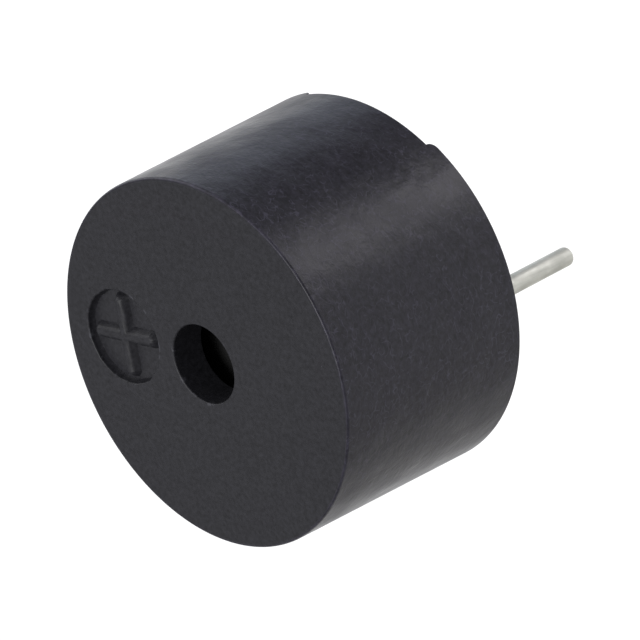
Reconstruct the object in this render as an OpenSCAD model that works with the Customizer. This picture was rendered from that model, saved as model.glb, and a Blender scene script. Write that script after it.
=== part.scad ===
// Round piezo buzzer with its own drive circuit, for soldering into a circuit board.
// A moulded cup holds the piezo element against a ledge and a small board against a shoulder,
// and resin closes the back round two pins.
// The seating plane is z = 0, the sound face looks along +Z, and the negative pin lies on +X.

/* [Housing] */
// Outer diameter at the rim
rim_d = 12.0; // [10.8:0.1:14]
// Draft of the side, by which the radius shrinks from the rim to the sound face
side_draft = 0.17; // [0:0.01:0.3]
// Height from the seating plane to the sound face
body_h = 7.25; // [6.5:0.05:9]
// Thickness of the front wall, behind the sound face
front_wall = 1.15; // [0.8:0.05:1.3]
// Thickness of the rim's wall at the board
rim_wall = 0.7; // [0.5:0.05:0.9]
// Radius of the outer edge of the sound face
face_edge = 0.09; // [0.02:0.01:0.3]
// Radius of the small edges of the moulding
fine_edge = 0.05; // [0.02:0.01:0.08]
// Diameter of the sound hole
sound_hole_d = 2.5; // [1.5:0.1:3.2]

/* [Vent notches in the rim] */
// Depth of the notches, which leaves the feet standing
vent_depth = 0.24; // [0.15:0.01:0.4]
// Width of each notch between the ends of the feet
vent_w = 4.9; // [3:0.1:6]
// Direction of the notches from the pin line
vent_angle = 85; // [60:1:120]
// Radius of the ends of the feet, up to the depth of the notches
foot_round = 0.22; // [0.05:0.01:0.4]

/* [Polarity mark] */
// Distance of the mark from the middle of the sound face
mark_at = 3.4; // [3:0.1:3.8]
// Diameter of the round pocket
mark_d = 3.0; // [2.4:0.1:3.4]
// Depth of the pocket
mark_depth = 0.25; // [0.1:0.01:0.4]
// Length of the bars of the plus, over their round ends
mark_bar_l = 2.6; // [1.6:0.1:2.8]
// Width of the bars at the top
mark_bar_w = 0.38; // [0.3:0.01:0.6]
// Slope of the bars' sides, from upright
mark_bar_slope = 27; // [0:1:35]
// Radius of the bars' top edges
mark_edge = 0.08; // [0.03:0.01:0.08]
// Slope of the pocket's wall, from upright
mark_wall_slope = 15; // [0:1:20]
// Direction of the mark from the middle of the face, opposite the negative pin or nearly so
mark_angle = 181; // [170:0.5:190]
// Turn of the plus against the line from the middle of the face to the mark
mark_turn = 5.6; // [-45:0.1:45]

/* [Piezo element] */
// Width of the ledge that the plate's edge is bonded to
plate_ledge = 0.5; // [0.4:0.05:0.6]
// Depth of the air chamber between the front wall and the plate
chamber_h = 0.9; // [0.6:0.05:1]
// Clearance round the plate
plate_play = 0.1; // [0.05:0.01:0.2]
// Thickness of the metal plate
plate_t = 0.1; // [0.08:0.01:0.2]
// Bare edge of the plate round the ceramic disc
ceramic_inset = 1.5; // [1.3:0.05:1.9]
// Thickness of the ceramic disc
ceramic_t = 0.12; // [0.1:0.01:0.2]
// Bare edge of the ceramic round the silver
silver_inset = 0.35; // [0.2:0.05:0.5]
// Thickness of the silver film
silver_t = 0.03; // [0.02:0.01:0.05]
// Width of the feedback electrode's stem
feedback_stem_w = 0.9; // [0.7:0.05:1.2]
// Diameter of the feedback electrode's head, in the middle of the disc
feedback_head_d = 1.6; // [1.3:0.1:2]
// Bare gap between the two electrodes
electrode_gap = 0.3; // [0.2:0.05:0.5]
// Width of the bond ring on the plate
bond_w = 0.45; // [0.3:0.05:0.5]
// Height of the bond ring on the wall
bond_h = 0.35; // [0.2:0.05:0.6]

/* [Circuit board] */
// Width of the shoulder that the board is pushed against
board_shoulder = 0.4; // [0.3:0.05:0.5]
// Clearance round the board
board_play = 0.1; // [0.05:0.01:0.2]
// Thickness of the board
board_t = 0.6; // [0.4:0.1:0.8]
// Free height between the board and the plate
parts_space = 2.2; // [2:0.05:2.4]
// Thickness of the copper pads
pad_t = 0.04; // [0.03:0.01:0.06]
// Border of copper round a joint
pad_border = 0.12; // [0.05:0.01:0.15]
// Distance of the resistors from the middle of the board
resistor_row = 2.75; // [2.6:0.05:3]
// Distance of the paired resistors from the middle line
resistor_side = 1.35; // [1.3:0.05:1.6]
// Clearance between the wires' pads and the shoulder
wire_pad_play = 0.28; // [0.1:0.01:0.4]

/* [Chip parts] */
// Length of a chip resistor
chip_l = 1.6; // [1.2:0.1:1.6]
// Width of a chip resistor
chip_w = 0.8; // [0.6:0.1:0.9]
// Height of a chip resistor
chip_h = 0.45; // [0.3:0.05:0.6]
// Length of the resistor's end caps
chip_cap = 0.3; // [0.2:0.05:0.4]
// Length of the transistor's body
transistor_l = 2.9; // [2.6:0.1:3.2]
// Width of the transistor's body
transistor_w = 1.3; // [1.2:0.1:1.5]
// Height of the transistor's body
transistor_h = 0.95; // [0.8:0.05:1.1]
// Height of the transistor's body above its pads
transistor_lift = 0.05; // [0.02:0.01:0.1]
// Distance between the two leads on one side
lead_pitch = 1.9; // [1.7:0.1:2]
// Width of a transistor lead
lead_w = 0.4; // [0.3:0.05:0.5]
// Thickness of a transistor lead
lead_t = 0.12; // [0.1:0.01:0.15]
// Reach of a transistor lead beyond the body
lead_reach = 0.55; // [0.4:0.05:0.7]

/* [Lead wires] */
// Diameter of the lead wires
wire_d = 0.16; // [0.1:0.02:0.24]
// Radius of the wires' bends
wire_bend = 0.4; // [0.3:0.05:0.5]
// Height of a wire's level run, as a share of the way from the board to the element
wire_run = 0.5; // [0.4:0.01:0.6]
// Diameter of a wire's solder joint at its foot
wire_joint_d = 0.7; // [0.66:0.02:0.8]
// Height of a wire's solder joint
wire_joint_h = 0.22; // [0.15:0.01:0.3]
// Distance of the two joints on the silver from its edge
silver_joint_inset = 0.85; // [0.6:0.05:1]

/* [Pins] */
// Diameter of the pins
pin_d = 0.6; // [0.5:0.05:0.7]
// Distance from the middle of each pin to the outside of the rim
pin_inset = 2.19; // [2.1:0.01:2.5]
// Length of the pins below the seating plane
pin_out = 4.65; // [3:0.05:15]
// Radius of the pin's tip edge
pin_tip = 0.14; // [0.05:0.01:0.2]
// Thickness of the pin's coined tail
tail_t = 0.43; // [0.35:0.01:0.5]
// Width of the pin's coined tail
tail_w = 0.66; // [0.62:0.01:0.75]
// Clearance of the board's hole round the corners of the tail
tail_play = 0.05; // [0.02:0.01:0.1]
// Diameter of the pin's solder joint at its foot
pin_joint_d = 1.5; // [1.2:0.1:1.6]
// Height of the pin's solder joint
pin_joint_h = 0.5; // [0.3:0.05:0.7]

/* [Resin] */
// Depth of the resin's surface above the seating plane
resin_recess = 0.55; // [0.45:0.05:0.9]
// Radius of the resin's climb up the rim's wall
resin_climb = 0.22; // [0.1:0.01:0.22]
// Height of the resin's climb up each pin
pin_climb = 0.08; // [0.02:0.01:0.1]

/* [Hidden] */
$fn = 96;
arc_steps = 6;
over = 0.5;

// Radii of the three bores, each stepped in from the one behind it
rim_r = rim_d / 2;
face_r = rim_r - side_draft;
hole_r = sound_hole_d / 2;
board_bore_r = rim_r - rim_wall;
plate_bore_r = board_bore_r - board_shoulder;
chamber_r = plate_bore_r - plate_ledge;
foot_r = min(foot_round, vent_depth);

// Levels from the sound face down to the resin
ceiling_z = body_h - front_wall;
ledge_z = ceiling_z - chamber_h;
plate_back_z = ledge_z - plate_t;
ceramic_back_z = plate_back_z - ceramic_t;
silver_back_z = ceramic_back_z - silver_t;
board_top_z = plate_back_z - parts_space;
board_back_z = board_top_z - board_t;
pad_top_z = board_top_z + pad_t;

// Sizes that follow from the ones above
plate_r = plate_bore_r - plate_play;
ceramic_r = plate_r - ceramic_inset;
silver_r = ceramic_r - silver_inset;
bond_inner_r = plate_r - bond_w;
board_r = board_bore_r - board_play;
pin_r = pin_d / 2;
pin_x = rim_r - pin_inset;
tail_hole_r = norm([tail_w, tail_t]) / 2 + tail_play;
tail_top_z = pad_top_z + pin_joint_h;
wire_r = wire_d / 2;
wire_pad_r = plate_bore_r - wire_pad_play - pad_border - wire_joint_d / 2;
silver_joint_r = silver_r - silver_joint_inset;
wire_joint_top_r = wire_d;
plate_joint_r = (ceramic_r + bond_inner_r) / 2;
mark_bar_low = mark_depth - mark_edge * (1 - sin(mark_bar_slope));
mark_bar_foot = mark_bar_w / 2 - mark_edge * (1 - cos(mark_bar_slope))
    + mark_bar_low * tan(mark_bar_slope);
mark_wall_low = mark_depth - fine_edge * (1 - sin(mark_wall_slope));
mark_floor_r = mark_d / 2 + fine_edge * (1 - cos(mark_wall_slope))
    - mark_wall_low * tan(mark_wall_slope);
lead_heel = transistor_w / 2 + lead_reach / 2;
lead_toe = transistor_w / 2 + lead_reach;
lead_exit_h = transistor_lift + transistor_h / 2;
resistor_pad_l = chip_cap + 2 * pad_border;

// Directions of the three lead wires, on the board and on the element
feedback_dir = 90;
main_dir = -62;
plate_pad_dir = -118;
plate_joint_dir = -150;

feedback_pad = polar(wire_pad_r, feedback_dir);
main_pad = polar(wire_pad_r, main_dir);
plate_pad = polar(wire_pad_r, plate_pad_dir);
feedback_joint = polar(silver_joint_r, feedback_dir);
main_joint = polar(silver_joint_r, main_dir);
plate_joint = polar(plate_joint_r, plate_joint_dir);
wire_pads = [feedback_pad, main_pad, plate_pad];

bias_at = [-resistor_side, resistor_row];
feedback_resistor_at = [resistor_side, resistor_row];
load_at = [0, -resistor_row];
resistors_at = [bias_at, feedback_resistor_at, load_at];

// Side and place of each transistor lead: [place along the body, side]
collector_place = [0, 1];
base_place = [-lead_pitch / 2, -1];
emitter_place = [lead_pitch / 2, -1];
leads_at = [collector_place, base_place, emitter_place];

plastic = [0.13, 0.13, 0.14];
tin = [0.72, 0.72, 0.69];
brass = [0.80, 0.68, 0.38];
ceramic_grey = [0.62, 0.60, 0.52];
silver = [0.86, 0.86, 0.84];
silicone = [0.90, 0.90, 0.86];
board_green = [0.10, 0.36, 0.20];
copper = [0.78, 0.46, 0.28];
chip_black = [0.10, 0.10, 0.10];
alumina = [0.92, 0.91, 0.88];
wire_red = [0.60, 0.20, 0.12];
resin_black = [0.06, 0.06, 0.07];

// Point at radius r in direction a
function polar(r, a) = [r * cos(a), r * sin(a)];

// Points of an arc about centre c, from angle a to angle b
function arc(c, r, a, b) = [for (i = [0 : arc_steps]) c + polar(r, a + (b - a) * i / arc_steps)];

// Outer radius of the drafted side wall at height z
function side_r(z) = rim_r + (face_r - rim_r) * z / body_h;

// Half section of the cup: drafted outside, front wall with its hole, and the stepped bores
module cup_section() {
    polygon(concat(
        arc([side_r(fine_edge) - fine_edge, fine_edge], fine_edge, -90, 0),
        arc([side_r(body_h - face_edge) - face_edge, body_h - face_edge], face_edge, 0, 90),
        arc([hole_r + fine_edge, body_h - fine_edge], fine_edge, 90, 180),
        [
            [hole_r, ceiling_z], [chamber_r, ceiling_z],
            [chamber_r, ledge_z], [plate_bore_r, ledge_z],
            [plate_bore_r, board_top_z], [board_bore_r, board_top_z]
        ],
        arc([board_bore_r + fine_edge, fine_edge], fine_edge, 180, 270)
    ));
}

// End view of a notch: straight floor, and the feet's ends rounded outwards
module vent_section() {
    translate([-vent_w / 2, -over]) square([vent_w, over + vent_depth]);
    for (side = [-1, 1]) scale([side, 1]) difference() {
        translate([vent_w / 2, -over]) square([foot_r, over + foot_r]);
        translate([vent_w / 2 + foot_r, foot_r]) circle(foot_r);
    }
}

// Half section of a bar of the plus, standing on the pocket's floor
module bar_half_section() {
    polygon(concat(
        [[0, 0], [mark_bar_foot, 0]],
        arc([mark_bar_w / 2 - mark_edge, mark_depth - mark_edge], mark_edge, mark_bar_slope, 90),
        [[0, mark_depth]]
    ));
}

// One bar of the plus along X, with sloping sides and round ends
module mark_bar() {
    straight = mark_bar_l - mark_bar_w;
    for (end = [-1, 1]) translate([end * straight / 2, 0, 0]) rotate_extrude() bar_half_section();
    translate([-straight / 2, 0, 0]) rotate([90, 0, 90]) linear_extrude(straight) {
        bar_half_section();
        mirror([1, 0]) bar_half_section();
    }
}

// Round pocket of the polarity mark, with the plus left standing in it
module mark_pocket() {
    difference() {
        rotate_extrude() polygon(concat(
            [[0, 0], [mark_floor_r, 0]],
            arc([mark_d / 2 + fine_edge, mark_depth - fine_edge], fine_edge,
                180 - mark_wall_slope, 90),
            [[mark_d / 2 + fine_edge, mark_depth + over], [0, mark_depth + over]]
        ));
        rotate([0, 0, mark_turn]) {
            mark_bar();
            rotate([0, 0, 90]) mark_bar();
        }
    }
}

module housing() {
    color(plastic) difference() {
        rotate_extrude() cup_section();
        rotate([0, 0, vent_angle - 90]) rotate([90, 0, 0])
            linear_extrude(rim_d + 2 * over, center = true) vent_section();
        rotate([0, 0, mark_angle]) translate([mark_at, 0, body_h - mark_depth]) mark_pocket();
    }
}

// A pin: a round leg with a rounded tip, and above the resin's surface a tail coined flat,
// so that it can't turn in the resin
module pin_shape() {
    rotate_extrude() polygon(concat(
        [[0, -pin_out]],
        arc([pin_r - pin_tip, pin_tip - pin_out], pin_tip, -90, 0),
        [[pin_r, resin_recess], [0, resin_recess]]
    ));
    translate([-tail_t / 2, -tail_w / 2, resin_recess])
        cube([tail_t, tail_w, tail_top_z - resin_recess]);
}

module pin_negative() { color(tin) translate([pin_x, 0, 0]) pin_shape(); }
module pin_positive() { color(tin) translate([-pin_x, 0, 0]) pin_shape(); }

// Half section of resin climbing a wall at radius r: side is 1 outside the radius, -1 inside
module climb_section(r, size, side) {
    translate([r, resin_recess]) scale([side, -1]) difference() {
        translate([0, -size]) square([size, 2 * size]);
        translate([size, size]) circle(size);
    }
}

module sealing_resin() {
    color(resin_black) difference() {
        union() {
            rotate_extrude() {
                translate([0, resin_recess]) square([board_bore_r, board_back_z - resin_recess]);
                climb_section(board_bore_r, resin_climb, -1);
            }
            for (x = [-pin_x, pin_x]) translate([x, 0, 0])
                rotate_extrude() climb_section(pin_r, pin_climb, 1);
        }
        for (x = [-pin_x, pin_x]) translate([x, 0, 0]) pin_shape();
    }
}

module piezo_plate() {
    color(brass) translate([0, 0, plate_back_z]) cylinder(h = plate_t, r = plate_r);
}

module piezo_ceramic() {
    color(ceramic_grey) translate([0, 0, ceramic_back_z]) cylinder(h = ceramic_t, r = ceramic_r);
}

// Outline of the feedback electrode before it is trimmed to the silvered disc: a head in the
// middle and a stem out to the edge, grown by a border
module feedback_outline(border) {
    circle(feedback_head_d / 2 + border);
    translate([0, silver_r / 2 + over / 2])
        square([feedback_stem_w + 2 * border, silver_r + over], center = true);
}

module main_electrode() {
    color(silver) translate([0, 0, silver_back_z]) linear_extrude(silver_t) difference() {
        circle(silver_r);
        feedback_outline(electrode_gap);
    }
}

module feedback_electrode() {
    color(silver) translate([0, 0, silver_back_z]) linear_extrude(silver_t) intersection() {
        circle(silver_r);
        feedback_outline(0);
    }
}

// Silicone that fills the play round the plate and lies as a fillet behind its edge
module bond_ring() {
    color(silicone) rotate_extrude() polygon([
        [plate_r, ledge_z], [plate_bore_r, ledge_z],
        [plate_bore_r, plate_back_z - bond_h], [plate_r, plate_back_z - bond_h / 2],
        [bond_inner_r, plate_back_z], [plate_r, plate_back_z]
    ]);
}

module circuit_board() {
    color(board_green) translate([0, 0, board_back_z]) difference() {
        cylinder(h = board_t, r = board_r);
        for (x = [-pin_x, pin_x]) translate([x, 0, -over])
            cylinder(h = board_t + 2 * over, r = tail_hole_r);
    }
}

// Copper under every joint: rings round the pins, discs under the wires, and oblongs under
// the ends of the chip parts
module board_pads() {
    color(copper) translate([0, 0, board_top_z]) linear_extrude(pad_t) {
        for (x = [-pin_x, pin_x]) translate([x, 0]) difference() {
            circle(pin_joint_d / 2 + pad_border);
            circle(tail_hole_r);
        }
        for (at = wire_pads) translate(at) circle(wire_joint_d / 2 + pad_border);
        for (at = resistors_at, end = [-1, 1])
            translate(at + [end * (chip_l - chip_cap) / 2, 0])
                square([resistor_pad_l, chip_w + 2 * pad_border], center = true);
        for (place = leads_at)
            translate([place[0], place[1] * (lead_heel + lead_toe) / 2])
                square([lead_w + 2 * pad_border, lead_toe - lead_heel + 2 * pad_border], center = true);
    }
}

module transistor() {
    color(chip_black) translate([-transistor_l / 2, -transistor_w / 2, pad_top_z + transistor_lift])
        cube([transistor_l, transistor_w, transistor_h]);
}

// A gull-wing lead: out of the body's side, down, and out along its pad
module transistor_lead(place) {
    side = place[1];
    body_side = transistor_w / 2;
    color(tin) translate([place[0], 0, pad_top_z]) scale([1, side, 1])
        rotate([90, 0, 90]) linear_extrude(lead_w, center = true) {
            translate([body_side, lead_exit_h - lead_t])
                square([lead_heel - body_side, lead_t]);
            translate([lead_heel - lead_t, 0]) square([lead_t, lead_exit_h]);
            translate([lead_heel - lead_t, 0]) square([lead_toe - lead_heel + lead_t, lead_t]);
        }
}

module collector_lead() { transistor_lead(collector_place); }
module base_lead() { transistor_lead(base_place); }
module emitter_lead() { transistor_lead(emitter_place); }

// A chip resistor: a ceramic brick between two metal end caps that stand a little proud
module chip_resistor(at) {
    proud = fine_edge / 2;
    color(alumina) translate([at[0], at[1], pad_top_z]) {
        translate([-chip_l / 2, proud - chip_w / 2, proud])
            cube([chip_l, chip_w - 2 * proud, chip_h - 2 * proud]);
        for (end = [-1, 1]) translate([end * (chip_l - chip_cap) / 2, 0, chip_h / 2])
            cube([chip_cap, chip_w, chip_h], center = true);
    }
}

module bias_resistor() { chip_resistor(bias_at); }
module feedback_resistor() { chip_resistor(feedback_resistor_at); }
module load_resistor() { chip_resistor(load_at); }

// Centre line of a lead wire, swept: up from its pad, over to the element, and up again
module lead_wire(pad, joint, top_z) {
    step = joint - pad;
    reach = norm(step);
    run_z = (top_z - pad_top_z) * wire_run;
    color(wire_red) translate([pad[0], pad[1], pad_top_z]) rotate([0, 0, atan2(step[1], step[0])]) {
        cylinder(h = run_z - wire_bend, r = wire_r);
        translate([wire_bend, 0, run_z - wire_bend]) wire_corner(90);
        translate([wire_bend, 0, run_z]) rotate([0, 90, 0])
            cylinder(h = reach - 2 * wire_bend, r = wire_r);
        translate([reach - wire_bend, 0, run_z + wire_bend]) wire_corner(-90);
        translate([reach, 0, run_z + wire_bend])
            cylinder(h = top_z - pad_top_z - run_z - wire_bend, r = wire_r);
    }
}

// A quarter bend of wire in the XZ plane, starting at angle a
module wire_corner(a) {
    rotate([90, 0, 0]) rotate([0, 0, a]) rotate_extrude(angle = 90)
        translate([wire_bend, 0]) circle(wire_r);
}

module plate_wire() { lead_wire(plate_pad, plate_joint, plate_back_z); }
module main_wire() { lead_wire(main_pad, main_joint, silver_back_z); }
module feedback_wire() { lead_wire(feedback_pad, feedback_joint, silver_back_z); }

// Solder round a wire where it stands on a surface at height z: up is 1 on the board and -1
// under the element
module wire_solder(at, z, up) {
    color(tin) translate([at[0], at[1], z]) scale([1, 1, up]) difference() {
        cylinder(h = wire_joint_h, r1 = wire_joint_d / 2, r2 = wire_joint_top_r);
        translate([0, 0, -over]) cylinder(h = wire_joint_h + 2 * over, r = wire_r);
    }
}

module plate_wire_joint() { wire_solder(plate_joint, plate_back_z, -1); }
module main_wire_joint() { wire_solder(main_joint, silver_back_z, -1); }
module feedback_wire_joint() { wire_solder(feedback_joint, silver_back_z, -1); }
module plate_board_joint() { wire_solder(plate_pad, pad_top_z, 1); }
module main_board_joint() { wire_solder(main_pad, pad_top_z, 1); }
module feedback_board_joint() { wire_solder(feedback_pad, pad_top_z, 1); }

// Solder that fills the board's hole round a pin's tail and stands on the pad as a cone
module pin_solder(x) {
    color(tin) translate([x, 0, 0]) difference() {
        union() {
            translate([0, 0, board_back_z]) cylinder(h = pad_top_z - board_back_z, r = tail_hole_r);
            translate([0, 0, pad_top_z])
                cylinder(h = pin_joint_h, r1 = pin_joint_d / 2, r2 = tail_hole_r);
        }
        pin_shape();
    }
}

module pin_negative_joint() { pin_solder(pin_x); }
module pin_positive_joint() { pin_solder(-pin_x); }

housing();
pin_negative();
pin_positive();
sealing_resin();
piezo_plate();
piezo_ceramic();
main_electrode();
feedback_electrode();
bond_ring();
circuit_board();
board_pads();
transistor();
collector_lead();
base_lead();
emitter_lead();
bias_resistor();
feedback_resistor();
load_resistor();
plate_wire();
main_wire();
feedback_wire();
plate_wire_joint();
main_wire_joint();
feedback_wire_joint();
plate_board_joint();
main_board_joint();
feedback_board_joint();
pin_negative_joint();
pin_positive_joint();
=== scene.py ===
import math

import bmesh
import bpy
import numpy as np
from mathutils import Matrix, Vector


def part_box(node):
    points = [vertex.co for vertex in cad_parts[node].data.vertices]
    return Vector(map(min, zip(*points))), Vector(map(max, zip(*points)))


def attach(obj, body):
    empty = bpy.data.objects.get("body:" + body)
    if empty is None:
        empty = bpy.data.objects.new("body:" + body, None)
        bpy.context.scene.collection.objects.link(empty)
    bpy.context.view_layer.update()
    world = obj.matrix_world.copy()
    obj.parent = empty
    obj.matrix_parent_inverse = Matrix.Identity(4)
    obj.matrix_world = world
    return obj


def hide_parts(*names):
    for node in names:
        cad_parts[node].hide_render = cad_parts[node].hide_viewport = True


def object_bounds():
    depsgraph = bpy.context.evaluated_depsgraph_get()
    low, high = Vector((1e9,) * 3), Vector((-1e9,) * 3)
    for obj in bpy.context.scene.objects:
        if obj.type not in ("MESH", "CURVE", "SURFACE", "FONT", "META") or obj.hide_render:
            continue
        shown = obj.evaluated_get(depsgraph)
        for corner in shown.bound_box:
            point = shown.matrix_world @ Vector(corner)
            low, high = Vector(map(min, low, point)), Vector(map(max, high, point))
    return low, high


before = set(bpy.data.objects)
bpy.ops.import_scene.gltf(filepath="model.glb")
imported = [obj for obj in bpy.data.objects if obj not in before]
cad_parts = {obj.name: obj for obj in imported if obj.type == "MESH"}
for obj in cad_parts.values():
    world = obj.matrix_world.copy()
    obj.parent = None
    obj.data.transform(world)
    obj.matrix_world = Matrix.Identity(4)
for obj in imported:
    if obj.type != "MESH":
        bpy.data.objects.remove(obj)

cad_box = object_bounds()
mm = 0.001


# ---- Studio ---------------------------------------------------------------------------
# A pale matt table well below the pins' tips, a light room all round, broad lamps and matt
# cards. The camera looks down on the sound face from the negative pin's side.

view_azimuth = 33.64
view_elevation = 39.02
view_roll = -117.29
view_distance = 143.43 * mm
view_centre = Vector((0.648, -0.058, 2.973)) * mm
lens_length = 270.53
sensor_width = 36.0
nearest_seen = 1 * mm

table_size = 1500 * mm
table_drop = 45 * mm
table_grey = 0.86
matt_roughness = 0.9
room_tint = (0.96, 0.96, 1)
room_light = 0.28
card_elevation = -36
card_distance = 58 * mm


def direction(azimuth, elevation):
    """Unit vector at an azimuth from +X and an elevation above the table, both in degrees."""
    a = math.radians(azimuth)
    e = math.radians(elevation)
    return Vector((math.cos(e) * math.cos(a), math.cos(e) * math.sin(a), math.sin(e)))


def facing(place, target, roll=0.0):
    """Matrix that stands at a place, looks at a target along -Z and is rolled about that line."""
    look = (place - target).to_track_quat("Z", "Y").to_matrix().to_4x4()
    return Matrix.Translation(place) @ look @ Matrix.Rotation(math.radians(roll), 4, "Z")


def camera_roll_start():
    """Roll that brings a tracked camera's X axis level, so that view_roll counts from level."""
    toward = direction(view_azimuth, view_elevation)
    level = Vector((0, 0, 1)).cross(toward).normalized()
    tracked = facing(toward, Vector((0, 0, 0))).to_3x3()
    local = tracked.transposed() @ level
    return math.degrees(math.atan2(local.y, local.x))


camera_data = bpy.data.cameras.new("camera")
camera_data.lens = lens_length
camera_data.sensor_width = sensor_width
camera_data.clip_start = nearest_seen
camera = bpy.data.objects.new("camera", camera_data)
camera_place = view_centre + direction(view_azimuth, view_elevation) * view_distance
camera.matrix_world = facing(camera_place, view_centre, camera_roll_start() + view_roll)
bpy.context.scene.collection.objects.link(camera)
bpy.context.scene.camera = camera
bpy.context.scene.view_settings.view_transform = "Standard"


def soft_lamp(name, azimuth, elevation, distance, width, height, power, colour):
    """A rectangular lamp that faces the buzzer and that the camera doesn't see."""
    lamp = bpy.data.lights.new(name, "AREA")
    lamp.shape = "RECTANGLE"
    lamp.size = width
    lamp.size_y = height
    lamp.energy = power
    lamp.color = colour
    holder = bpy.data.objects.new(name, lamp)
    holder.matrix_world = facing(view_centre + direction(azimuth, elevation) * distance, view_centre)
    holder.visible_camera = False
    bpy.context.scene.collection.objects.link(holder)


# Each row: azimuth and elevation in degrees, distance, width and height in mm, watts, colour.
for name, azimuth, elevation, distance, width, height, power, colour in (
        ("top_lamp", 40, 80, 500, 420, 420, 3.2, (1, 1, 1)),
        ("face_lamp", 213, 39, 300, 200, 200, 0.06, (1, 1, 1)),
        ("band_lamp", 60, -36, 70, 20, 50, 0.0118, (0.98, 0.95, 1)),
        ("back_lamp", 168, -10, 160, 60, 120, 0.033, (0.88, 0.94, 1)),
        ("rear_lamp", 146, 20, 200, 170, 150, 0.145, (1, 1, 1)),
        ("low_lamp", -108, -12, 160, 60, 100, 0.018, (1, 0.98, 0.92))):
    soft_lamp(name, azimuth, elevation, distance * mm, width * mm, height * mm, power, colour)

room = bpy.data.worlds.new("room")
room.use_nodes = True
room.node_tree.nodes["Background"].inputs["Color"].default_value = room_tint + (1,)
room.node_tree.nodes["Background"].inputs["Strength"].default_value = room_light
bpy.context.scene.world = room


def matt_sheet(name, corners, colour):
    """A four-cornered sheet in a plain matt paint."""
    paint = bpy.data.materials.new(name + "_paint")
    paint.use_nodes = True
    paint.node_tree.nodes["Principled BSDF"].inputs["Base Color"].default_value = colour + (1,)
    paint.node_tree.nodes["Principled BSDF"].inputs["Roughness"].default_value = matt_roughness
    mesh = bpy.data.meshes.new(name)
    mesh.from_pydata(corners, [], [(0, 1, 2, 3)])
    mesh.materials.append(paint)
    sheet = bpy.data.objects.new(name, mesh)
    bpy.context.scene.collection.objects.link(sheet)
    return sheet


table_z = cad_box[0][2] - table_drop
half = table_size / 2
table = matt_sheet("table", [(-half, -half, table_z), (half, -half, table_z), (half, half, table_z),
                             (-half, half, table_z)], (table_grey, table_grey, table_grey))


def flat_card(name, azimuth, width, colour):
    """A card twice as high as wide that stands below the horizon and faces the buzzer. The
    camera doesn't see it: it only gives the glossy side wall something to mirror."""
    stand = facing(view_centre + direction(azimuth, card_elevation) * card_distance, view_centre)
    corners = [(-width / 2, -width, 0), (width / 2, -width, 0), (width / 2, width, 0), (-width / 2, width, 0)]
    card = matt_sheet(name, [stand @ Vector(corner) for corner in corners], colour)
    card.visible_camera = False
    card.visible_shadow = False


flat_card("dark_card", azimuth=100, width=39 * mm, colour=(0.2, 0.2, 0.2))
flat_card("grey_card", azimuth=139, width=32 * mm, colour=(0.69, 0.75, 0.86))
flat_card("side_card", azimuth=-66, width=66 * mm, colour=(0.61, 0.6, 0.58))


# ---- Housing --------------------------------------------------------------------------
# A drafted cup moulded in black glass-filled plastic: stepped bores inside, a crisp sound
# face with its hole, a round pocket with a raised plus, and two notches between the feet.
# The element, the board and the resin are put in from its open back.

fine_edge = 0.05
face_edge = 0.09
side_draft = 0.17
hole_r = 1.25
front_wall = 1.15
chamber_shoulder = 0.5
vent_depth = 0.24
vent_width = 4.9
vent_azimuth = 85
foot_round = 0.22
mark_radius = 1.5
mark_distance = 3.4
mark_azimuth = 181
mark_depth = 0.25
wall_slope = 5
hollow_slope = 30
bar_length = 2.6
bar_width = 0.42
bar_slope = 33
bar_edge = 0.2
bar_turn = 6.6
waver = 0.008

rim_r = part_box("housing")[1].x / mm
body_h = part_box("housing")[1].z / mm
resin_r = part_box("sealing_resin")[1].x / mm
board_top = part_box("circuit_board")[1].z / mm
plate_bore_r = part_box("bond_ring")[1].x / mm
ledge_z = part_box("piezo_plate")[1].z / mm
chamber_r = plate_bore_r - chamber_shoulder
ceiling_z = body_h - front_wall
mark_place = mark_distance * np.array(
    [math.cos(math.radians(mark_azimuth)), math.sin(math.radians(mark_azimuth))])

slot_reach = 4.2
slot_blend = 80
notch_reach = 1.2
notch_gap = 0.003
notch_margin = 0.06

arc_steps = 8
side_rows = 40
foot_rows = 10
bore_rows = 8
column_step = 1.0
ring_step = 1.5
bar_rows = 4
bar_side_steps = 8
bar_end_steps = 24
crease_angle = 35


def arc(r, z, radius, start, end):
    """Points of an arc about (r, z): (r + radius cos a, z + radius sin a) for a from start to end."""
    a = np.radians(np.linspace(start, end, arc_steps + 1))
    return np.stack([r + radius * np.cos(a), z + radius * np.sin(a)], axis=1)


def straight(start, end, rows):
    """Points between two places, both left out, held close to the ends by a cosine spacing."""
    s = (1 - np.cos(np.linspace(0, np.pi, rows + 2)[1:-1])) / 2
    return np.array(start) + s[:, None] * (np.array(end) - np.array(start))


def side_radius(z):
    """The wall's outer radius at height z: straight from the rim in to the sound face."""
    return rim_r - side_draft * z / body_h


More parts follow.
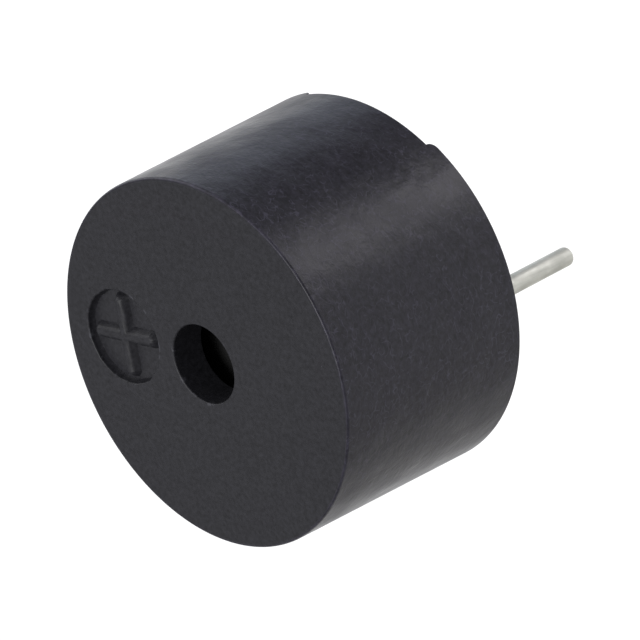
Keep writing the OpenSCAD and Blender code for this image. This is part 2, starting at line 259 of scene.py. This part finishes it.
def cup_profile():
    """The cup's half section, from the sound face down the outside, round the rim and up the
    stepped bores to the hole's edge, as points (r, z)."""
    shoulder = side_radius(body_h - face_edge) - face_edge
    foot = side_radius(fine_edge) - fine_edge
    outer_edge = arc(shoulder, body_h - face_edge, face_edge, 90, 0)
    outer_foot = arc(foot, fine_edge, fine_edge, 0, -90)
    inner_foot = arc(resin_r + fine_edge, fine_edge, fine_edge, -90, -180)
    hole_edge = arc(hole_r + fine_edge, body_h - fine_edge, fine_edge, 180, 90)
    corners = [(resin_r, board_top), (plate_bore_r, board_top), (plate_bore_r, ledge_z),
               (chamber_r, ledge_z), (chamber_r, ceiling_z), (hole_r, ceiling_z)]
    parts = [outer_edge, straight(outer_edge[-1], outer_foot[0], side_rows), outer_foot,
             straight(outer_foot[-1], inner_foot[0], foot_rows), inner_foot]
    last = inner_foot[-1]
    for corner in corners + [hole_edge[0]]:
        parts.append(straight(last, corner, bore_rows))
        if corner is not hole_edge[0]:
            parts.append(np.array([corner]))
        last = corner
    parts.append(hole_edge)
    return np.concatenate(parts)


def notch_height(t):
    """Height of the rim's underside at a distance t from the slot's middle line: the notch's
    floor inside half its width, then a quarter circle down to the foot."""
    past = np.clip(np.abs(t) - vent_width / 2, 0, foot_round)
    rounded = foot_round - np.sqrt(foot_round ** 2 - (foot_round - past) ** 2)
    return np.where(np.abs(t) < vent_width / 2, vent_depth, rounded)


def column_azimuths():
    """Azimuths of the wall's columns: one for each column_step of a degree, and close together
    where a foot ends. There two stand notch_gap apart, to make the step from the notch's floor
    to the foot, and one stands notch_margin off on either side."""
    turn = np.radians(np.linspace(0, 90, arc_steps * 2 + 1))
    start = vent_width / 2
    ends = start + foot_round * (1 - np.cos(turn))
    ends = np.concatenate([[start - notch_margin, start - notch_gap], ends, [ends[-1] + notch_margin]])
    window = np.degrees(np.arcsin(ends / rim_r))
    even = np.arange(-90, 90, column_step)
    gap = column_step / 4
    clear = (np.abs(even) < window[0] - gap) | (np.abs(even) > window[-1] + gap)
    half_turn = np.sort(np.concatenate([even[clear], window, -window]))
    return np.radians(np.concatenate([half_turn, half_turn + 180]))


def cup_surface():
    """The cup as rings: each profile point turned about Z, with the rim's columns bent so that
    they run along the slot (r sin(azimuth) constant), and its underside lifted in the notches.
    The bend is full up to slot_reach from the slot's middle line and gone at slot_blend degrees,
    and on the outside both the bend and the lift die out over the height notch_reach."""
    profile = cup_profile()
    azimuth = column_azimuths()
    r = profile[:, 0][:, None] * np.ones(len(azimuth))
    z = profile[:, 1][:, None] * np.ones(len(azimuth))
    side = np.arcsin(np.sin(azimuth))
    along = np.clip(rim_r * np.sin(side), -slot_reach, slot_reach)
    inner = np.maximum(r, resin_r)
    bend = np.arcsin(along / inner) - np.arcsin(along / rim_r)
    fade_start = math.degrees(math.asin(slot_reach / rim_r))
    fade = np.clip((slot_blend - np.degrees(np.abs(side))) / (slot_blend - fade_start), 0, 1)
    near_rim = np.clip((r - plate_bore_r) / (resin_r - plate_bore_r), 0, 1)
    low = np.clip(1 - (z - fine_edge) / notch_reach, 0, 1)
    inside = profile[:, 0][:, None] < (resin_r + rim_r) / 2
    bend = bend * fade * near_rim * np.where(inside, 1, low) * np.sign(np.cos(azimuth))
    turned = azimuth + bend + math.radians(vent_azimuth)
    z = z + notch_height(inner * np.sin(azimuth + bend)) * low * (r > resin_r - fine_edge)
    return np.stack([r * np.cos(turned), r * np.sin(turned), z], axis=-1)


def wavering(a, b):
    """Unevenness of a spark-cut edge in mm, from two coordinates a and b: the waver times
    sin(5a + 9b) + 0.8 sin(13a - 4b + 1) + 0.6 sin(29a + 2)."""
    return waver * (np.sin(5 * a + 9 * b) + 0.8 * np.sin(13 * a - 4 * b + 1) + 0.6 * np.sin(29 * a + 2))


def pocket_surface():
    """The pocket's rounded lip and hollow wall as rings about the mark's own middle. The wall
    leaves the lip's arc at wall_slope from upright and curves along a larger arc, down to the
    floor at hollow_slope."""
    lip = arc(mark_radius + fine_edge, body_h - fine_edge, fine_edge, 90, 180 - wall_slope)
    drop = lip[-1][1] - (body_h - mark_depth)
    steep = math.radians(wall_slope)
    hollow_r = drop / (math.sin(math.radians(hollow_slope)) - math.sin(steep))
    wall = arc(lip[-1][0] - hollow_r * math.cos(steep), lip[-1][1] + hollow_r * math.sin(steep),
               hollow_r, -wall_slope, -hollow_slope)
    profile = np.concatenate([lip, wall[1:]])
    a = np.radians(np.arange(0, 360, ring_step))
    r = profile[:, 0][:, None] + wavering(a, 0)
    z = profile[:, 1][:, None] * np.ones(len(a))
    return np.stack([mark_place[0] + r * np.cos(a), mark_place[1] + r * np.sin(a), z], axis=-1)


def plus_outline(h):
    """Outline of the plus at half bar width h: for each arm a side out, a half circle round the
    end, and a side back to the next arm's corner, turned by a quarter four times."""
    reach = (bar_length - bar_width) / 2
    s = np.arange(bar_side_steps)[:, None] / bar_side_steps
    out = np.array([h, -h]) + s * np.array([reach - h, 0])
    a = np.radians(np.linspace(-90, 90, bar_end_steps + 1))[:-1]
    end = np.stack([reach + h * np.cos(a), h * np.sin(a)], axis=1)
    back = np.array([reach, h]) + s * np.array([h - reach, 0])
    arm = np.concatenate([out, end, back])
    turns = [math.radians(bar_turn + quarter) for quarter in (0, 90, 180, 270)]
    return np.concatenate([
        arm @ np.array([[math.cos(t), math.sin(t)], [-math.sin(t), math.cos(t)]]) for t in turns])


def plus_surface():
    """The plus's sloping sides and rounded top edges: outlines that narrow with height. The side
    runs straight up from the floor into the edge's arc."""
    lip = arc(bar_width / 2 - bar_edge, body_h - bar_edge, bar_edge, bar_slope, 90)
    rise = lip[0][1] - (body_h - mark_depth)
    foot = (lip[0][0] + rise * math.tan(math.radians(bar_slope)), body_h - mark_depth)
    profile = np.concatenate([[foot], straight(foot, lip[0], bar_rows), lip])
    rings = []
    for h, z in profile:
        outline = plus_outline(h)
        outline = outline + wavering(outline[:, ::-1] * 2, outline) + mark_place
        rings.append(np.column_stack([outline, np.full(len(outline), z)]))
    return np.array(rings)


def ring_grid(points, first):
    """Faces between neighbouring rings of a closed grid whose vertices start at a number."""
    rings, columns = points.shape[:2]
    number = first + np.arange(rings * columns).reshape(rings, columns)
    a = number[:-1]
    b = np.roll(number, -1, axis=1)[:-1]
    c = np.roll(number, -1, axis=1)[1:]
    d = number[1:]
    return np.stack([a, b, c, d], axis=-1).reshape(-1, 4), number


def shell_from_grids(name, grids, caps):
    """One closed mesh from ring grids and flat caps. A cap is a list of (grid, ring) loops, the
    outer one first, and is filled with triangles. The grids are in mm, the mesh in metres."""
    first = 0
    faces = []
    numbers = []
    for grid in grids:
        quads, number = ring_grid(grid, first)
        faces.append(quads)
        numbers.append(number)
        first += number.size
    mesh = bpy.data.meshes.new(name)
    points = np.concatenate([grid.reshape(-1, 3) for grid in grids])
    mesh.from_pydata(points.tolist(), [], np.concatenate(faces).tolist())
    work = bmesh.new()
    work.from_mesh(mesh)
    work.verts.ensure_lookup_table()
    for cap in caps:
        edges = []
        for grid, ring in cap:
            loop = [work.verts[n] for n in numbers[grid][ring]]
            edges += [work.edges.get((loop[i - 1], loop[i])) for i in range(len(loop))]
        bmesh.ops.triangle_fill(work, edges=edges, use_beauty=True, use_dissolve=False)
    bmesh.ops.recalc_face_normals(work, faces=work.faces)
    bmesh.ops.scale(work, vec=(mm, mm, mm), verts=work.verts)
    work.to_mesh(mesh)
    work.free()
    return mesh


def shown(name, mesh, material):
    """Puts a finished mesh into the scene, smooth up to the crease angle, and lets it ride."""
    mesh.materials.append(material)
    mesh.shade_smooth()
    mesh.set_sharp_from_angle(angle=math.radians(crease_angle))
    piece = bpy.data.objects.new(name, mesh)
    bpy.context.scene.collection.objects.link(piece)
    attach(piece, "root")
    return piece


def new_material(name):
    """An empty node material: its tree, its Principled shader and its Object coordinates."""
    material = bpy.data.materials.new(name)
    material.use_nodes = True
    tree = material.node_tree
    place = tree.nodes.new("ShaderNodeTexCoord").outputs["Object"]
    return material, tree, tree.nodes["Principled BSDF"], place


def value(tree, operation, a, b=0.0, clamp=False):
    """A Math node: each of a and b is a number or another node's output."""
    node = tree.nodes.new("ShaderNodeMath")
    node.operation = operation
    node.use_clamp = clamp
    for socket, given in zip(node.inputs, (a, b)):
        if isinstance(given, (int, float)):
            socket.default_value = given
        else:
            tree.links.new(given, socket)
    return node.outputs[0]


def vector(tree, operation, a, b):
    """A Vector Math node: each of a and b is three numbers or another node's output."""
    node = tree.nodes.new("ShaderNodeVectorMath")
    node.operation = operation
    for socket, given in zip(node.inputs, (a, b)):
        if isinstance(given, tuple):
            socket.default_value = given
        else:
            tree.links.new(given, socket)
    return node.outputs[0]


def separated(tree, where):
    """The X, Y and Z of coordinates, as three outputs."""
    node = tree.nodes.new("ShaderNodeSeparateXYZ")
    tree.links.new(where, node.inputs[0])
    return node.outputs


def cloud(tree, where, per_mm, detail=3.0, roughness=0.6, output="Fac"):
    """Noise with so many features to the millimetre."""
    node = tree.nodes.new("ShaderNodeTexNoise")
    node.inputs["Scale"].default_value = per_mm / mm
    node.inputs["Detail"].default_value = detail
    node.inputs["Roughness"].default_value = roughness
    tree.links.new(where, node.inputs["Vector"])
    return node.outputs[output]


def ramp(tree, source, low, high, bottom=0.0, top=1.0):
    """Straight change from bottom to top while the source goes from low to high, then level."""
    node = tree.nodes.new("ShaderNodeMapRange")
    node.inputs["From Min"].default_value = low
    node.inputs["From Max"].default_value = high
    node.inputs["To Min"].default_value = bottom
    node.inputs["To Max"].default_value = top
    tree.links.new(source, node.inputs["Value"])
    return node.outputs["Result"]


def blend_colours(tree, factor, first, second):
    """Colour between two colours by a factor; each colour is three numbers or an output."""
    node = tree.nodes.new("ShaderNodeMix")
    node.data_type = "RGBA"
    tree.links.new(factor, node.inputs["Factor"])
    for name, given in (("A", first), ("B", second)):
        socket = [s for s in node.inputs if s.name == name and s.type == "RGBA"][0]
        if isinstance(given, tuple):
            socket.default_value = given + (1,)
        else:
            tree.links.new(given, socket)
    return [s for s in node.outputs if s.type == "RGBA"][0]


def raised(tree, shader, height, depth):
    """Bump of a depth in mm where the height goes from 0 to 1."""
    node = tree.nodes.new("ShaderNodeBump")
    node.inputs["Distance"].default_value = depth * mm
    tree.links.new(height, node.inputs["Height"])
    tree.links.new(node.outputs["Normal"], shader.inputs["Normal"])


def fibres(tree, where, per_mm):
    """Short curled fibres: the thin contour where soft noise passes its middle value, kept only
    where a second, finer noise is high, so that each contour breaks into pieces."""
    soft = cloud(tree, where, per_mm, detail=0.5, roughness=0.5)
    off = value(tree, "ABSOLUTE", value(tree, "SUBTRACT", soft, 0.5))
    elsewhere = vector(tree, "ADD", where, (7 * mm, 3 * mm, 5 * mm))
    finer = cloud(tree, elsewhere, 1.3 * per_mm, detail=1.0, roughness=0.5)
    return value(tree, "MULTIPLY", ramp(tree, off, fibre_thin, 0.0), ramp(tree, finer, 0.48, 0.56))


def wandering(tree, where, per_mm, reach):
    """Coordinates pushed about by soft noise, by up to half a reach in mm, so that a straight
    grain curls."""
    soft = cloud(tree, where, per_mm, detail=1.0, roughness=0.5, output="Color")
    push = vector(tree, "SUBTRACT", soft, (0.5, 0.5, 0.5))
    return vector(tree, "ADD", where, vector(tree, "MULTIPLY", push, (reach * mm,) * 3))


def distance_from(tree, axes, x, y):
    """Distance in metres from an upright line at x, y in mm, given the separated coordinates."""
    across_x = value(tree, "SUBTRACT", axes[0], x * mm)
    across_y = value(tree, "SUBTRACT", axes[1], y * mm)
    return value(tree, "SQRT", value(tree, "ADD", value(tree, "MULTIPLY", across_x, across_x),
                                     value(tree, "MULTIPLY", across_y, across_y)))


def worn_ring(tree, distance, radius, half_width):
    """1 on a ring of a radius in mm, falling to 0 at half its width to either side."""
    off = value(tree, "ABSOLUTE", value(tree, "SUBTRACT", distance, radius * mm))
    return ramp(tree, off, half_width * mm, 0.0)


# The plastic: black where its resin covers it, paler where grain and glass fibres reach the
# skin, glossier and wavier on the drafted side than on the matt sound face, and rubbed grey in
# places along the edges of the hole and the pocket. Along the face's edge a pale band is partly
# wear and partly a painted highlight line. Noise keeps near 0.5, so each ramp's first two
# numbers pick how much of it shows.

skin_black = (0.0065, 0.0064, 0.0081)
face_pale = (0.036, 0.036, 0.043)
side_pale = (0.0365, 0.034, 0.0495)
grain_squeeze = (1, 1, 1.4)
grain_per_mm = 4.2
grain_weight = 0.24
curl_per_mm = 2.2
curl_reach = 0.3
long_fibre_per_mm = 2.6
short_fibre_per_mm = 3.1
fibre_thin = 0.03
patch_per_mm = 0.5
mottle_per_mm = 0.9
wave_per_mm = 0.9
wave_weight = 4.2
speck_per_mm = 7.0
speck_pale = 0.45
speck_weight = 0.2
nick_per_mm = 2.4
lip_wear = 0.07
# Half width of the pale band round the face's edge, partly wear and partly painted highlight.
brim_wear_and_highlight = 0.08
rubbed_and_highlight_weight = 1.4
face_roughness = 0.46
side_roughness = 0.3
pale_roughness = 0.06
relief_depth = 0.012
face_r = rim_r - side_draft

plastic, tree, shader, place = new_material("glass_filled_plastic")
axes = separated(tree, place)
from_axis = distance_from(tree, axes, 0.0, 0.0)
from_mark = distance_from(tree, axes, mark_place[0], mark_place[1])
on_side = ramp(tree, from_axis, (face_r - face_edge) * mm, (face_r - face_edge / 2) * mm)
on_top = ramp(tree, axes[2], (body_h - 2 * face_edge) * mm, (body_h - face_edge) * mm)

lying = vector(tree, "MULTIPLY", place, grain_squeeze)
grain = cloud(tree, wandering(tree, lying, curl_per_mm, curl_reach), grain_per_mm)
patches = ramp(tree, cloud(tree, place, patch_per_mm, detail=2.0, roughness=0.5), 0.36, 0.64)
elsewhere = vector(tree, "ADD", lying, (31 * mm, 17 * mm, 23 * mm))
strands = value(tree, "MAXIMUM", fibres(tree, lying, short_fibre_per_mm),
                fibres(tree, elsewhere, long_fibre_per_mm))
strands = value(tree, "MULTIPLY", strands, ramp(tree, patches, 0, 1, 0.3, 0.95))
specks = cloud(tree, place, speck_per_mm, detail=4.0, roughness=0.75)
waves = cloud(tree, place, wave_per_mm, detail=2.0, roughness=0.4)

lips = value(tree, "MAXIMUM", worn_ring(tree, from_mark, mark_radius + fine_edge / 2, lip_wear),
             worn_ring(tree, from_axis, hole_r + fine_edge / 2, lip_wear))
nicks = ramp(tree, cloud(tree, place, nick_per_mm, roughness=0.7), 0.56, 0.66)
# Painted highlight, partly wear: a pale band round the face's edge, broken into pieces by noise.
brim = worn_ring(tree, from_axis, face_r - face_edge / 2, brim_wear_and_highlight)
brim_nicks = ramp(tree, cloud(tree, place, mottle_per_mm), 0.35, 0.6, 0.0, 0.35)
# Rubbed wear at the hole's and the pocket's lips, plus the painted highlight along the face's edge.
rubbed_and_edge_highlight = value(tree, "ADD", value(tree, "MULTIPLY", lips, nicks),
               value(tree, "MULTIPLY", brim, brim_nicks))
rubbed_and_edge_highlight = value(tree, "MULTIPLY", rubbed_and_edge_highlight, on_top)

light = value(tree, "MULTIPLY", ramp(tree, grain, 0.4, 0.7), grain_weight)
light = value(tree, "ADD", light, strands, clamp=True)
light = value(tree, "MULTIPLY", light, on_side)
light = value(tree, "ADD", light, ramp(tree, specks, 0.3, 0.7, 0.0, speck_pale))
light = value(tree, "ADD", light, value(tree, "MULTIPLY", rubbed_and_edge_highlight, rubbed_and_highlight_weight))
pale = blend_colours(tree, on_side, face_pale, side_pale)
tree.links.new(blend_colours(tree, light, skin_black, pale), shader.inputs["Base Color"])

uneven = value(tree, "MULTIPLY", patches, ramp(tree, on_side, 0, 1, 0.3, 1))
rough = value(tree, "ADD", ramp(tree, on_side, 0, 1, face_roughness, side_roughness),
              value(tree, "MULTIPLY", light, pale_roughness))
rough = value(tree, "ADD", ramp(tree, uneven, 0, 1, -0.02, 0.09), rough)
tree.links.new(rough, shader.inputs["Roughness"])
relief = value(tree, "ADD", grain, value(tree, "MULTIPLY", waves, wave_weight))
relief = value(tree, "MULTIPLY", relief, on_side)
relief = value(tree, "ADD", relief, value(tree, "MULTIPLY", specks, speck_weight))
raised(tree, shader, relief, relief_depth)
shader.inputs["Specular IOR Level"].default_value = 0.24

housing_mesh = shell_from_grids(
    "moulded_housing", [cup_surface(), pocket_surface(), plus_surface()],
    [[(0, 0), (0, -1), (1, 0)], [(1, -1), (2, 0)], [(2, -1)]])
housing = shown("moulded_housing", housing_mesh, plastic)
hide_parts("housing")


# ---- Pins -----------------------------------------------------------------------------
# Two round legs of tinned copper wire with rounded tips. Inside the resin each tail is coined
# flat so that the leg can't turn, and its end is soldered through the board.

pin_pitch = 7.62
pin_r = 0.3
pin_tip = 0.14
tail_depth = 0.43
tail_width = 0.66
tail_corner = 0.06
coining = 0.06
pin_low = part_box("pin_negative")[0].z / mm
tail_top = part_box("pin_negative")[1].z / mm
resin_low = 0.55
pin_columns = 64
leg_rows = 24


def wire_section(half_x, half_y, corner):
    """A rounded rectangle at even angles: from each corner's centre, a step of the corner radius
    along the angle. With the corner equal to both halves it is a circle."""
    a = np.radians((np.arange(pin_columns) + 0.5) * 360 / pin_columns)
    x = np.sign(np.cos(a)) * (half_x - corner) + corner * np.cos(a)
    y = np.sign(np.sin(a)) * (half_y - corner) + corner * np.sin(a)
    return np.stack([x, y], axis=1)


def leg_levels():
    """Height, half sizes and corner radius of each section from the tip to the tail's end."""
    tip = arc(pin_r - pin_tip, pin_low + pin_tip, pin_tip, -90, 0)
    levels = [(z, r, r, r) for r, z in tip]
    levels += [(z, pin_r, pin_r, pin_r) for _, z in straight(tip[-1], (pin_r, resin_low), leg_rows)]
    levels += [(resin_low, pin_r, pin_r, pin_r),
               (resin_low + coining, tail_depth / 2, tail_width / 2, tail_corner),
               (tail_top, tail_depth / 2, tail_width / 2, tail_corner)]
    return levels


def leg_rings(levels, x):
    """Rings at x from levels of height, half sizes and corner radius."""
    rings = []
    for z, half_x, half_y, corner in levels:
        section = wire_section(half_x, half_y, corner)
        rings.append(np.column_stack([section[:, 0] + x, section[:, 1], np.full(pin_columns, z)]))
    return np.array(rings)


def mixed(tree, first, second, share):
    """Two patterns added, the first with a share of the weight and the second with the rest."""
    return value(tree, "ADD", value(tree, "MULTIPLY", first, share),
                 value(tree, "MULTIPLY", second, 1 - share))


def two_tone(tree, shader, pattern, dark, pale, low=0.35, high=0.65):
    """Base colour that goes from dark to pale while a pattern goes from low to high."""
    tree.links.new(blend_colours(tree, ramp(tree, pattern, low, high), dark, pale),
                   shader.inputs["Base Color"])


def uneven_gloss(tree, shader, pattern, start, end, low=0.3, high=0.7):
    """Roughness that goes from start to end while a pattern goes from low to high."""
    tree.links.new(ramp(tree, pattern, low, high, start, end), shader.inputs["Roughness"])


tin, tree, shader, place = new_material("dull_tin")
shader.inputs["Metallic"].default_value = 1.0
drawn = cloud(tree, vector(tree, "MULTIPLY", place, (1, 1, 0.12)), per_mm=9.0)
tarnish = mixed(tree, drawn, cloud(tree, place, per_mm=1.6), share=0.4)
two_tone(tree, shader, tarnish, dark=(0.5, 0.5, 0.46), pale=(0.61, 0.61, 0.56))
uneven_gloss(tree, shader, tarnish, start=0.66, end=0.54, low=0.35, high=0.65)
raised(tree, shader, tarnish, depth=0.006)

for node, x in (("pin_negative", pin_pitch / 2), ("pin_positive", -pin_pitch / 2)):
    leg_mesh = shell_from_grids("tinned_" + node, [leg_rings(leg_levels(), x)], [[(0, 0)], [(0, -1)]])
    leg = shown("tinned_" + node, leg_mesh, tin)
    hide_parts(node)


# ---- Resin ----------------------------------------------------------------------------
# Black epoxy poured over the back of the board and cured level. It climbs a little up the
# cup's wall and round the pins, and holds the pins and the board in place.

resin_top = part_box("sealing_resin")[1].z / mm
wall_climb = 0.22
pin_climb = 0.08
resin_rows = 6


def meniscus_surface():
    """The resin's rim as rings: a quarter circle from the level surface down to the bore's wall,
    then straight up the wall to the board."""
    curve = arc(resin_r - wall_climb, resin_low - wall_climb, wall_climb, 90, 0)
    top = (resin_r, resin_top)
    profile = np.concatenate([curve, straight(curve[-1], top, resin_rows), [top]])
    a = np.radians(np.arange(0, 360, ring_step))
    r = profile[:, 0][:, None]
    z = profile[:, 1][:, None] * np.ones(len(a))
    return np.stack([r * np.cos(a), r * np.sin(a), z], axis=-1)


def pin_hole_surface(x):
    """The resin round a pin as rings: a small quarter circle down to the leg, up along the leg,
    and round the coined tail to the board."""
    curve = arc(pin_r + pin_climb, resin_low - pin_climb, pin_climb, 90, 180)
    levels = [(z, r, r, r) for r, z in curve]
    levels += [(resin_low, pin_r, pin_r, pin_r),
               (resin_low + coining, tail_depth / 2, tail_width / 2, tail_corner),
               (resin_top, tail_depth / 2, tail_width / 2, tail_corner)]
    return leg_rings(levels, x)


epoxy, tree, shader, place = new_material("black_epoxy")
swell = cloud(tree, place, per_mm=0.35, detail=2.0, roughness=0.5)
dust = cloud(tree, place, per_mm=7.0)
two_tone(tree, shader, dust, dark=(0.006, 0.006, 0.007), pale=(0.02, 0.02, 0.022), low=0.5, high=0.8)
uneven_gloss(tree, shader, dust, start=0.14, end=0.3)
raised(tree, shader, value(tree, "ADD", swell, value(tree, "MULTIPLY", dust, 0.01)), depth=0.12)

resin_mesh = shell_from_grids(
    "poured_resin",
    [meniscus_surface(), pin_hole_surface(pin_pitch / 2), pin_hole_surface(-pin_pitch / 2)],
    [[(0, 0), (1, 0), (2, 0)], [(0, -1), (1, -1), (2, -1)]])
resin = shown("poured_resin", resin_mesh, epoxy)
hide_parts("sealing_resin")


# ---- Sounding element -----------------------------------------------------------------
# A brass disc with painted shade: its sound side is coloured matt black, with a fired ceramic
# disc cemented to its back and two silver electrodes printed on that. A silicone bead bonds its
# edge into the cup.

# Thickness of the step into the painted shade on the plate's sound side.
painted_shade_skin = 0.01


def finish_node(node, material):
    """Gives a CAD node's own mesh its material."""
    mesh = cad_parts[node].data
    mesh.materials.clear()
    mesh.materials.append(material)


brass, tree, shader, place = new_material("rolled_brass")
rolled = cloud(tree, vector(tree, "MULTIPLY", place, (0.15, 1, 1)), per_mm=6.0)
stained = ramp(tree, value(tree, "MULTIPLY", cloud(tree, place, per_mm=0.5), rolled), 0.12, 0.4)
bare = blend_colours(tree, stained, (0.42, 0.28, 0.1), (0.62, 0.45, 0.18))
# Painted shade: the plate's sound side, seen down the hole, is coloured black and not metallic so that the
# hole reads dark.
painted_shade_side = ramp(tree, separated(tree, place)[2], (ledge_z - 2 * painted_shade_skin) * mm,
               (ledge_z - painted_shade_skin) * mm)
tree.links.new(blend_colours(tree, painted_shade_side, bare, (0.006, 0.006, 0.006)), shader.inputs["Base Color"])
tree.links.new(ramp(tree, painted_shade_side, 0, 1, 1, 0), shader.inputs["Metallic"])
uneven_gloss(tree, shader, painted_shade_side, start=0.32, end=0.8, low=0, high=1)
raised(tree, shader, rolled, depth=0.004)
finish_node("piezo_plate", brass)

ceramic, tree, shader, place = new_material("fired_ceramic")
grit = cloud(tree, place, per_mm=14.0)
fired = mixed(tree, grit, cloud(tree, place, per_mm=0.8), share=0.4)
two_tone(tree, shader, fired, dark=(0.24, 0.22, 0.16), pale=(0.34, 0.32, 0.24))
shader.inputs["Roughness"].default_value = 0.62
raised(tree, shader, grit, depth=0.006)
finish_node("piezo_ceramic", ceramic)


def stripes(tree, where, per_mm, direction="X", distortion=0.0):
    """Soft even stripes across X or Y, wider where fewer stand to the millimetre."""
    node = tree.nodes.new("ShaderNodeTexWave")
    node.bands_direction = direction
    node.inputs["Scale"].default_value = per_mm / mm
    node.inputs["Distortion"].default_value = distortion
    tree.links.new(where, node.inputs["Vector"])
    return node.outputs["Fac"]


silver, tree, shader, place = new_material("fired_silver")
shader.inputs["Metallic"].default_value = 1.0
screen = stripes(tree, place, per_mm=2.6, distortion=0.6)
flakes = cloud(tree, place, per_mm=12.0)
printed = value(tree, "ADD", value(tree, "MULTIPLY", screen, 0.3), flakes)
two_tone(tree, shader, printed, dark=(0.6, 0.59, 0.56), pale=(0.78, 0.77, 0.74), low=0.4, high=0.9)
uneven_gloss(tree, shader, flakes, start=0.42, end=0.6)
raised(tree, shader, printed, depth=0.004)
finish_node("main_electrode", silver)
finish_node("feedback_electrode", silver)

silicone, tree, shader, place = new_material("white_silicone")
run = cloud(tree, place, per_mm=1.8, detail=2.0, roughness=0.5)
two_tone(tree, shader, run, dark=(0.58, 0.58, 0.54), pale=(0.68, 0.68, 0.64))
shader.inputs["Roughness"].default_value = 0.38
shader.inputs["Subsurface Weight"].default_value = 0.15
shader.inputs["Subsurface Scale"].default_value = 0.3 * mm
raised(tree, shader, run, depth=0.05)
finish_node("bond_ring", silicone)


# ---- Circuit board --------------------------------------------------------------------
# A round board of glass cloth and epoxy under green mask, pressed against the shoulder of the
# cup's bore, with bare copper where the pins, the wires and the chips are soldered.

cloth_per_mm = 0.9

laminate, tree, shader, place = new_material("masked_laminate")
flat = vector(tree, "MULTIPLY", place, (1, 1, 0))
cloth = value(tree, "MULTIPLY", stripes(tree, flat, cloth_per_mm),
              stripes(tree, flat, cloth_per_mm, direction="Y"))
blotch = cloud(tree, place, per_mm=1.2)
masked = blend_colours(tree, mixed(tree, cloth, blotch, share=0.35), (0.008, 0.07, 0.028),
                       (0.018, 0.12, 0.05))
tree.links.new(masked, shader.inputs["Base Color"])
uneven_gloss(tree, shader, blotch, start=0.24, end=0.34)
raised(tree, shader, cloth, depth=0.012)
finish_node("circuit_board", laminate)

copper, tree, shader, place = new_material("bare_copper")
shader.inputs["Metallic"].default_value = 1.0
dull = cloud(tree, place, per_mm=3.0)
two_tone(tree, shader, dull, dark=(0.5, 0.24, 0.13), pale=(0.72, 0.38, 0.22))
uneven_gloss(tree, shader, dull, start=0.5, end=0.3)
raised(tree, shader, dull, depth=0.006)
finish_node("board_pads", copper)


# ---- Oscillator parts -----------------------------------------------------------------
# A moulded transistor with three gull-wing leads, and three chip resistors: alumina bricks
# with tinned end caps and a glazed film on top. All are reflow-soldered to the board.

chip_length = 1.6
cap_length = 0.3
film_skin = 0.03

mould, tree, shader, place = new_material("chip_moulding")
sparks = cloud(tree, place, per_mm=16.0, detail=2.0)
two_tone(tree, shader, sparks, dark=(0.012, 0.012, 0.012), pale=(0.03, 0.03, 0.03), low=0.4, high=0.7)
uneven_gloss(tree, shader, sparks, start=0.5, end=0.66)
raised(tree, shader, sparks, depth=0.008)
finish_node("transistor", mould)

plating, tree, shader, place = new_material("bright_tin")
shader.inputs["Metallic"].default_value = 1.0
crystals = cloud(tree, place, per_mm=8.0)
two_tone(tree, shader, crystals, dark=(0.52, 0.52, 0.5), pale=(0.68, 0.68, 0.66))
uneven_gloss(tree, shader, crystals, start=0.36, end=0.22)
raised(tree, shader, crystals, depth=0.004)
for node in ("collector_lead", "base_lead", "emitter_lead"):
    finish_node(node, plating)

for node in ("bias_resistor", "feedback_resistor", "load_resistor"):
    low_corner, high_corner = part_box(node)
    brick, tree, shader, place = new_material("chip_" + node)
    axes = separated(tree, place)
    off = value(tree, "ABSOLUTE", value(tree, "SUBTRACT", axes[0], (low_corner.x + high_corner.x) / 2))
    cap = value(tree, "GREATER_THAN", off, (chip_length / 2 - cap_length) * mm)
    film = value(tree, "GREATER_THAN", axes[2], high_corner.z - film_skin * mm)
    pores = cloud(tree, place, per_mm=12.0)
    white = blend_colours(tree, ramp(tree, pores, 0.35, 0.65), (0.6, 0.58, 0.54), (0.74, 0.72, 0.68))
    glazed = blend_colours(tree, film, white, (0.014, 0.014, 0.016))
    tree.links.new(blend_colours(tree, cap, glazed, (0.6, 0.6, 0.58)), shader.inputs["Base Color"])
    tree.links.new(cap, shader.inputs["Metallic"])
    uneven_gloss(tree, shader, pores, start=0.32, end=0.46)
    raised(tree, shader, pores, depth=0.005)
    finish_node(node, brick)


# ---- Wiring ---------------------------------------------------------------------------
# Three enamelled copper wires from the board to the element, soldered at both ends, and the
# solder that fills the board's holes round the pins' tails.

enamel, tree, shader, place = new_material("red_enamel")
streaks = cloud(tree, place, per_mm=4.0)
two_tone(tree, shader, streaks, dark=(0.2, 0.028, 0.012), pale=(0.34, 0.07, 0.03))
shader.inputs["Roughness"].default_value = 0.28
shader.inputs["Coat Weight"].default_value = 0.5
raised(tree, shader, streaks, depth=0.004)
for node in ("plate_wire", "main_wire", "feedback_wire"):
    finish_node(node, enamel)

solder, tree, shader, place = new_material("smooth_solder")
shader.inputs["Metallic"].default_value = 1.0
frozen = cloud(tree, place, per_mm=5.0)
two_tone(tree, shader, frozen, dark=(0.46, 0.46, 0.46), pale=(0.66, 0.66, 0.65))
uneven_gloss(tree, shader, frozen, start=0.4, end=0.22)
raised(tree, shader, frozen, depth=0.01)
for node in ("plate_wire_joint", "main_wire_joint", "feedback_wire_joint", "plate_board_joint",
             "main_board_joint", "feedback_board_joint", "pin_negative_joint", "pin_positive_joint"):
    finish_node(node, solder)
